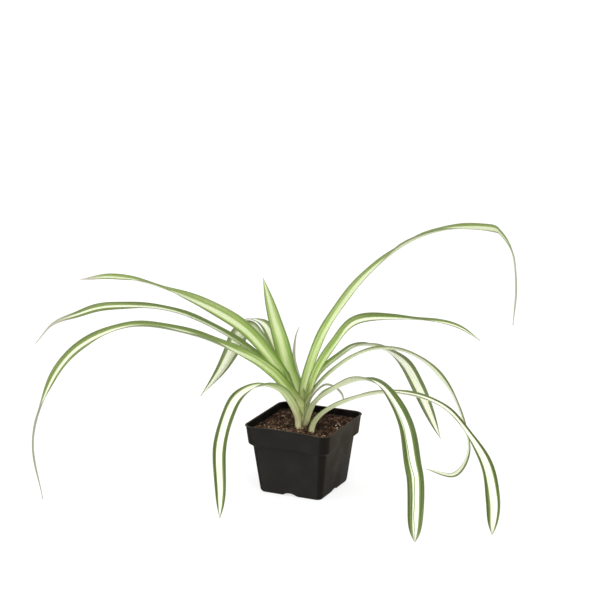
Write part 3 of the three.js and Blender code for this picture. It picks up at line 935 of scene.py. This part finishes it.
def blade_surface(leaf, start, end, seed):
    """Points, faces and marks of the stretch of a leaf between two lengths."""
    track, lengths = leaf_track(leaf)
    total = lengths[-1]
    end = min(end, total)
    steps = max(2, round((end - start) / SECTION_STEP))
    columns = len(ACROSS)
    count = 2 * columns
    points, faces = [], []
    marks = {"across": [], "along": [], "share": [], "below": []}
    for n in range(steps + 1):
        length = start + (end - start) * n / steps
        points += blade_ring(leaf, track, lengths, length, seed)
        marks["across"] += ACROSS + ACROSS[::-1]
        marks["along"] += [length] * count
        marks["share"] += [length / total] * count
        marks["below"] += [0.0] * columns + [1.0] * columns
    for n in range(steps):
        for k in range(count):
            a, b = n * count + k, n * count + (k + 1) % count
            faces.append((a, a + count, b + count, b))
    last = steps * count
    for k in range(ACROSS_STEPS):
        a, b = k, count - 1 - k
        faces.append((a, a + 1, b - 1, b))
        faces.append((last + b, last + b - 1, last + a + 1, last + a))
    return points, faces, marks


def make_leaf(leaf, finish, seed):
    """The free part of one leaf, from where it leaves the crown to its tip."""
    points, faces, marks = blade_surface(leaf, leaf["sheath"], math.inf, seed)
    return make_piece(
        leaf["name"] + "_blade", points, faces, [finish], stands_for=[leaf["name"]], marks=marks
    )


# Crown

def crown_core():
    """The innermost leaf bases, pressed into one body with upright ribs, under the sheaths."""
    around = [math.tau * k / CORE_SIDES for k in range(CORE_SIDES)]
    rings = []
    for n in range(CORE_LEVELS + 1):
        height = CORE_FOOT + (CORE_TOP - CORE_FOOT) * n / CORE_LEVELS
        radius = along_values(CORE_RADII, n / CORE_LEVELS)
        ring = []
        for angle in around:
            ribbed = radius * (1 + CORE_RIB_DEPTH * math.sin(CORE_RIBS * angle + height / CORE_TWIST))
            ring.append(CROWN_AT + Vector((ribbed * math.cos(angle), ribbed * math.sin(angle), height)))
        rings.append(ring)
    points, faces = skin(rings)
    marks = {
        "across": [math.sin(CORE_RIBS * angle) * CORE_ACROSS for _ in rings for angle in around],
        "along": [ring[0].z - SOIL_HEIGHT - CORE_BROWN for ring in rings for _ in around],
        "share": [0.1] * len(points),
        "below": [1.0] * len(points),
    }
    return points, faces, marks


def make_crown(finishes):
    """The leaf bases round a short core, as one piece, each with its own leaf's finish."""
    points, faces, marks = crown_core()
    core_finish = [leaf["name"] for leaf in LEAVES].index(CORE_LEAF)
    face_finish = [core_finish] * len(faces)
    for seed, leaf in enumerate(LEAVES):
        if not leaf["sheath"]:
            continue
        sheath_points, sheath_faces, sheath_marks = blade_surface(leaf, 0, leaf["sheath"], seed)
        add_to(points, faces, sheath_points, sheath_faces)
        face_finish += [seed] * len(sheath_faces)
        for name, values in sheath_marks.items():
            marks[name] += values
    return make_piece(
        "crown_sheaths", points, faces, finishes, stands_for=["crown"],
        face_finish=face_finish, marks=marks,
    )


# Pot

def square_ring(half, corner, height, corner_steps=10, side_steps=14):
    """A level ring with round corners, whose -Y side is bent inwards the more the higher it lies."""
    bow = FRONT_BOW * height / POT_HEIGHT
    straight = half - corner
    ring = []
    for side in range(4):
        turn = Matrix.Rotation(side * math.pi / 2, 2)
        for k in range(corner_steps + 1):
            angle = k / corner_steps * math.pi / 2
            x, y = straight + corner * math.cos(angle), straight + corner * math.sin(angle)
            ring.append(turn @ Vector((x, y)))
        for k in range(1, side_steps):
            place = straight - 2 * straight * k / side_steps
            bent = half - bow * (1 - (place / straight) ** 2) if side == 2 else half
            ring.append(turn @ Vector((place, bent)))
    return [(p.x, p.y, height) for p in ring]


def lip_profile(steps=6):
    """Height, half and corner of the rings over the rounded lip."""
    radius = LIP_HEIGHT / 2
    profile = []
    for k in range(steps + 1):
        angle = -math.pi / 2 * 0.6 + k / steps * math.pi * 0.8
        height = POT_HEIGHT - radius + radius * math.sin(angle)
        profile.append((height, RIM_HALF - radius + radius * math.cos(angle), RIM_CORNER))
    return profile


def pot_rings():
    """Rings up the outside of the pot, over its lip and down the inside."""
    rounded_foot = [
        (0, FOOT_HALF - 3.2, FOOT_CORNER - 1.6),
        (0.4, FOOT_HALF - 1.9, FOOT_CORNER - 0.9),
        (1.5, FOOT_HALF - 0.8, FOOT_CORNER - 0.3),
        (3.5, FOOT_HALF, FOOT_CORNER),
    ]
    ledge_under_band = [
        (BODY_TOP_HEIGHT - 0.5, BODY_TOP_HALF - 0.1, BODY_CORNER),
        (BODY_TOP_HEIGHT + 0.4, BODY_TOP_HALF + 0.3, BODY_CORNER + 0.2),
        (BAND_FOOT_HEIGHT - 0.6, BAND_FOOT_HALF - 0.6, RIM_CORNER - 0.2),
    ]
    band = [
        (BAND_FOOT_HEIGHT, BAND_FOOT_HALF - 0.1, RIM_CORNER),
        (BAND_FOOT_HEIGHT + 0.8, BAND_FOOT_HALF + 0.05, RIM_CORNER),
        (POT_HEIGHT - LIP_HEIGHT - 0.3, BAND_TOP_HALF - 0.05, RIM_CORNER),
        (POT_HEIGHT - LIP_HEIGHT, BAND_TOP_HALF + 0.15, RIM_CORNER),
    ]
    inner = BAND_TOP_HALF - WALL
    inside = [
        (POT_HEIGHT - 0.1, inner + 0.35, RIM_CORNER - WALL),
        (POT_HEIGHT - 0.5, inner, RIM_CORNER - WALL),
        (BAND_FOOT_HEIGHT, BAND_FOOT_HALF - WALL, RIM_CORNER - WALL),
        (BODY_TOP_HEIGHT, BODY_TOP_HALF - WALL, BODY_CORNER - WALL),
        (FLOOR + 1, FOOT_HALF - WALL, FOOT_CORNER - WALL),
        (FLOOR, FOOT_HALF - WALL - 1, FOOT_CORNER - WALL - 1),
    ]
    profile = rounded_foot + ledge_under_band + band + lip_profile() + inside
    return [square_ring(half, corner, height) for height, half, corner in profile]


def arch_prism(turn, steps=16):
    """The space of an arched notch under one side."""
    half = ARCH_WIDTH / 2
    radius = (half ** 2 + ARCH_RISE ** 2) / (2 * ARCH_RISE)
    swing_angle = math.asin(half / radius)
    outline = [(half, -CUT_PAST)]
    for k in range(steps + 1):
        angle = math.pi / 2 - swing_angle + 2 * swing_angle * k / steps
        outline.append((radius * math.cos(angle), ARCH_RISE - radius + radius * math.sin(angle)))
    outline.append((-half, -CUT_PAST))
    near, far = FOOT_HALF - ARCH_DEPTH, BODY_TOP_HALF
    turned = Matrix.Rotation(turn, 3, "Z")
    points = [turned @ Vector((x, -y, z)) for y in (far, near) for x, z in outline]
    count = len(outline)
    faces = [tuple(range(count)), tuple(range(count, 2 * count))[::-1]]
    faces += [(k, k + count, (k + 1) % count + count, (k + 1) % count) for k in range(count)]
    return points, faces


def drain_prism(x, y, sides=28):
    """The space of a round drain hole in the floor."""
    ring = []
    for k in range(sides):
        angle = 2 * math.pi * k / sides
        ring.append((x + DRAIN_RADIUS * math.cos(angle), y + DRAIN_RADIUS * math.sin(angle)))
    return skin([[(px, py, z) for px, py in ring] for z in (-CUT_PAST, FLOOR + CUT_PAST)])


def loose_mesh(name, points, faces):
    mesh = bpy.data.meshes.new(name)
    mesh.from_pydata([Vector(p) * MM for p in points], [], faces)
    made = bpy.data.objects.new(name, mesh)
    bpy.context.scene.collection.objects.link(made)
    return made


def cut(piece, cutters):
    """Cuts the cutters out of a piece and removes them."""
    for cutter in cutters:
        change = piece.modifiers.new("cut", "BOOLEAN")
        change.operation = "DIFFERENCE"
        change.solver = "EXACT"
        change.object = cutter
    bpy.context.view_layer.update()
    cut_mesh = bpy.data.meshes.new_from_object(piece.evaluated_get(bpy.context.evaluated_depsgraph_get()))
    piece.modifiers.clear()
    old = piece.data
    piece.data = cut_mesh
    bpy.data.meshes.remove(old)
    for cutter in cutters:
        bpy.data.objects.remove(cutter)


def make_pot(finishes):
    """The pot, whose walls have the second finish on the inside, a near-black tone that is painted shade.
    """
    points, faces = skin(pot_rings())
    shell = make_piece("pot_shell", points, faces, finishes, stands_for=["pot"])
    cutters = [loose_mesh("notch", *arch_prism(side * math.pi / 2)) for side in range(4)]
    offsets = (-DRAIN_OFFSET, DRAIN_OFFSET)
    cutters += [loose_mesh("drain", *drain_prism(x, y)) for x in offsets for y in offsets]
    cut(shell, cutters)
    shell.data.set_sharp_from_angle(angle=SHARP_ANGLE)
    for face in shell.data.polygons:
        is_wall = 2 * ARCH_RISE < face.center.z / MM < POT_HEIGHT - LIP_HEIGHT
        is_inward = face.normal.xy.dot(face.center.xy) < 0
        face.material_index = 1 if is_wall and is_inward else 0
    return shell


# Compost

def bed_height(x, y):
    """The height of the lumpy top of the bed."""
    height = SOIL_HEIGHT - BED_DROP
    for tall, wide, layer in BED_LUMPS:
        height += tall * noise.noise(Vector((x / wide, y / wide, layer)))
    return height


def soil_limit(height):
    """Half the room between the pot's walls at a height, less a small gap."""
    share = (height - BAND_FOOT_HEIGHT) / (POT_HEIGHT - BAND_FOOT_HEIGHT)
    return BAND_FOOT_HALF + (BAND_TOP_HALF - BAND_FOOT_HALF) * share - WALL - SOIL_GAP


def make_bed(finish):
    """The body of the compost, with a lumpy top."""
    base = FLOOR + ARCH_RISE + WALL
    levels = [
        (base, FOOT_HALF - WALL + 0.4, FOOT_CORNER - WALL),
        (BODY_TOP_HEIGHT, BODY_TOP_HALF - WALL - 0.3, BODY_CORNER - WALL),
        (BAND_FOOT_HEIGHT, BAND_FOOT_HALF - WALL - 0.3, RIM_CORNER - WALL),
    ]
    rings = [square_ring(half, corner, height) for height, half, corner in levels]
    flat = square_ring(soil_limit(SOIL_HEIGHT), RIM_CORNER - WALL, SOIL_HEIGHT)
    for r in range(BED_RINGS, 0, -1):
        share = r / BED_RINGS
        rings.append([(x * share, y * share, bed_height(x * share, y * share)) for x, y, _ in flat])
    points, faces = skin(rings)
    marks = {"tone": [BED_TONE] * len(points), "white": [0.0] * len(points)}
    return make_piece("compost_bed", points, faces, [finish], stands_for=["soil"], marks=marks)


def crumb(rng, at, size):
    """A jagged chip of bark: an icosahedron squashed, turned and knocked out of shape."""
    g = (1 + math.sqrt(5)) / 2
    corners = [
        (-1, g, 0), (1, g, 0), (-1, -g, 0), (1, -g, 0), (0, -1, g), (0, 1, g),
        (0, -1, -g), (0, 1, -g), (g, 0, -1), (g, 0, 1), (-g, 0, -1), (-g, 0, 1),
    ]
    faces = [
        (0, 11, 5), (0, 5, 1), (0, 1, 7), (0, 7, 10), (0, 10, 11),
        (1, 5, 9), (5, 11, 4), (11, 10, 2), (10, 7, 6), (7, 1, 8),
        (3, 9, 4), (3, 4, 2), (3, 2, 6), (3, 6, 8), (3, 8, 9),
        (4, 9, 5), (2, 4, 11), (6, 2, 10), (8, 6, 7), (9, 8, 1),
    ]
    own_width = 3.8
    turn = Matrix.Rotation(rng.uniform(0, math.tau), 3, "Z") @ Matrix.Rotation(rng.gauss(0, 0.45), 3, "X")
    stretch = Vector((rng.uniform(0.8, 1.6), rng.uniform(0.6, 1.0), rng.uniform(0.35, 0.75)))
    shape = stretch * size / own_width
    points = []
    for corner in corners:
        knocked = Vector(corner) * rng.uniform(0.75, 1.2)
        points.append(at + turn @ Vector(a * b for a, b in zip(knocked, shape)))
    return points, faces


def bark_tone(x, y):
    """How pale the bark is: darkened by a painted shadow behind the crown and by painted shade towards the
    back wall, and paler along the right wall.
    """
    painted_shadow = math.exp(-((x - SHADOW_AT[0]) ** 2 + (y - SHADOW_AT[1]) ** 2) / SHADOW_SPREAD ** 2)
    dry = min(max((x - PALING_FROM) / PALING_WIDTH, 0), 1)
    return BARK_TONE - y / BACK_SHADE_FADE - SHADOW_DARKENING * painted_shadow + RIGHT_WALL_PALING * dry


def fits_in_pot(x, y, size, reach):
    """Whether a crumb clears the pot's round corners and its bowed front wall."""
    bow = FRONT_BOW * SOIL_HEIGHT / POT_HEIGHT * (1 - min(abs(x) / CRUMB_BOW_HALF, 1) ** 2)
    past = Vector([max(abs(place) - CRUMB_CORNER_FROM + size / 2, 0) for place in (x, y)])
    return past.length <= CRUMB_CORNER and y >= -reach + bow


def scatter_crumbs(rng):
    """Place, lift and size of each crumb, and whether it is a white grain."""
    limit = soil_limit(SOIL_HEIGHT)
    crumbs = []
    for _ in range(CRUMB_COUNT):
        size = min(SMALLEST_CRUMB + rng.expovariate(CRUMB_RARITY), LARGEST_CRUMB)
        reach = limit - size * 0.5
        x, y = rng.uniform(-reach, reach), rng.uniform(-reach, reach)
        if not fits_in_pot(x, y, size, reach):
            continue
        is_white = rng.random() < WHITE_SHARE
        lift = rng.uniform(0.0, CRUMB_LIFT) * size
        crumbs.append((x, y, lift, size * (WHITE_SIZE if is_white else 1), is_white))
    return crumbs + [(x, y, WHITE_LIFT, WHITE_ACROSS, True) for x, y in WHITE_GRAINS]


def make_crumbs(finish):
    """A loose layer of bark chips and peat crumbs over the bed, with a few white grains."""
    rng = random.Random(CRUMB_SEED)
    points, faces = [], []
    marks = {"tone": [], "white": []}
    for x, y, lift, size, is_white in scatter_crumbs(rng):
        chip_points, chip_faces = crumb(rng, Vector((x, y, bed_height(x, y) + lift)), size)
        add_to(points, faces, chip_points, chip_faces)
        pale = min(max(rng.gauss(bark_tone(x, y), TONE_SPREAD), 0), 1)
        marks["tone"] += [pale] * len(chip_points)
        marks["white"] += [float(is_white)] * len(chip_points)
    return make_piece("compost_crumbs", points, faces, [finish], smooth=False, marks=marks)


# Stage

def make_camera():
    data = bpy.data.cameras.new("camera")
    data.sensor_width = SENSOR
    data.lens = SENSOR * FOCAL_PIXELS / IMAGE_SIDE
    data.clip_end = FAR_CLIP
    camera = bpy.data.objects.new("camera", data)
    turn = Matrix.Rotation(math.radians(YAW), 4, "Z") @ Matrix.Rotation(math.radians(90 - PITCH), 4, "X")
    camera.matrix_world = Matrix.Translation(AIM + turn.to_3x3() @ Vector((0, 0, DISTANCE))) @ turn
    bpy.context.scene.collection.objects.link(camera)
    bpy.context.scene.camera = camera


def make_light(name, place, size, power):
    """A round soft light that faces the origin."""
    data = bpy.data.lights.new(name, "AREA")
    data.shape = "DISK"
    data.size = size
    data.energy = power
    light = bpy.data.objects.new(name, data)
    light.location = place
    light.rotation_mode = "QUATERNION"
    light.rotation_quaternion = Vector(place).to_track_quat("Z", "Y")
    bpy.context.scene.collection.objects.link(light)


def make_floor():
    """A large white floor, lit a little from itself so that the background stays white."""
    made, tree, sockets = new_finish(
        "floor_white",
        Roughness=0.9,
        Specular_IOR_Level=0.1,
        Emission_Color=STUDIO_WHITE,
        Emission_Strength=FLOOR_GLOW,
    )
    faint = grain(tree, place_on(tree), scale=3.0)
    tree.links.new(step_between(tree, faint, 0.3, 0.7, 0.3, 0.31), sockets["Base Color"])
    mesh = bpy.data.meshes.new("floor")
    corners = [(x * FLOOR_HALF, y * FLOOR_HALF, 0) for x, y in ((-1, -1), (1, -1), (1, 1), (-1, 1))]
    mesh.from_pydata(corners, [], [(0, 1, 2, 3)])
    mesh.materials.append(made)
    floor = bpy.data.objects.new("floor", mesh)
    bpy.context.scene.collection.objects.link(floor)


def make_studio():
    """White light from all round, and three soft lights."""
    world = bpy.data.worlds.new("studio")
    world.use_nodes = True
    background = world.node_tree.nodes["Background"].inputs
    background["Color"].default_value = STUDIO_WHITE
    background["Strength"].default_value = 1.0
    bpy.context.scene.world = world
    bpy.context.scene.view_settings.view_transform = "Standard"
    for light in LIGHTS:
        make_light(*light)


make_camera()
stripes = make_stripe_group()
leaf_finishes = [leaf_finish(leaf, stripes, seed) for seed, leaf in enumerate(LEAVES)]
for seed, (leaf, finish) in enumerate(zip(LEAVES, leaf_finishes)):
    make_leaf(leaf, finish, seed)
make_crown(leaf_finishes)
moulded = make_moulded_group()
make_pot([
    pot_finish("pot_plastic", moulded, POT_BLACK, POT_DUST, painted_light=True),
    # The inside finish paints the shade inside the pot into its colour
    pot_finish("pot_inside", moulded, POT_INSIDE_SHADE, POT_BLACK),
])
bark = crumb_finish()
make_bed(bark)
make_crumbs(bark)
make_floor()
make_studio()
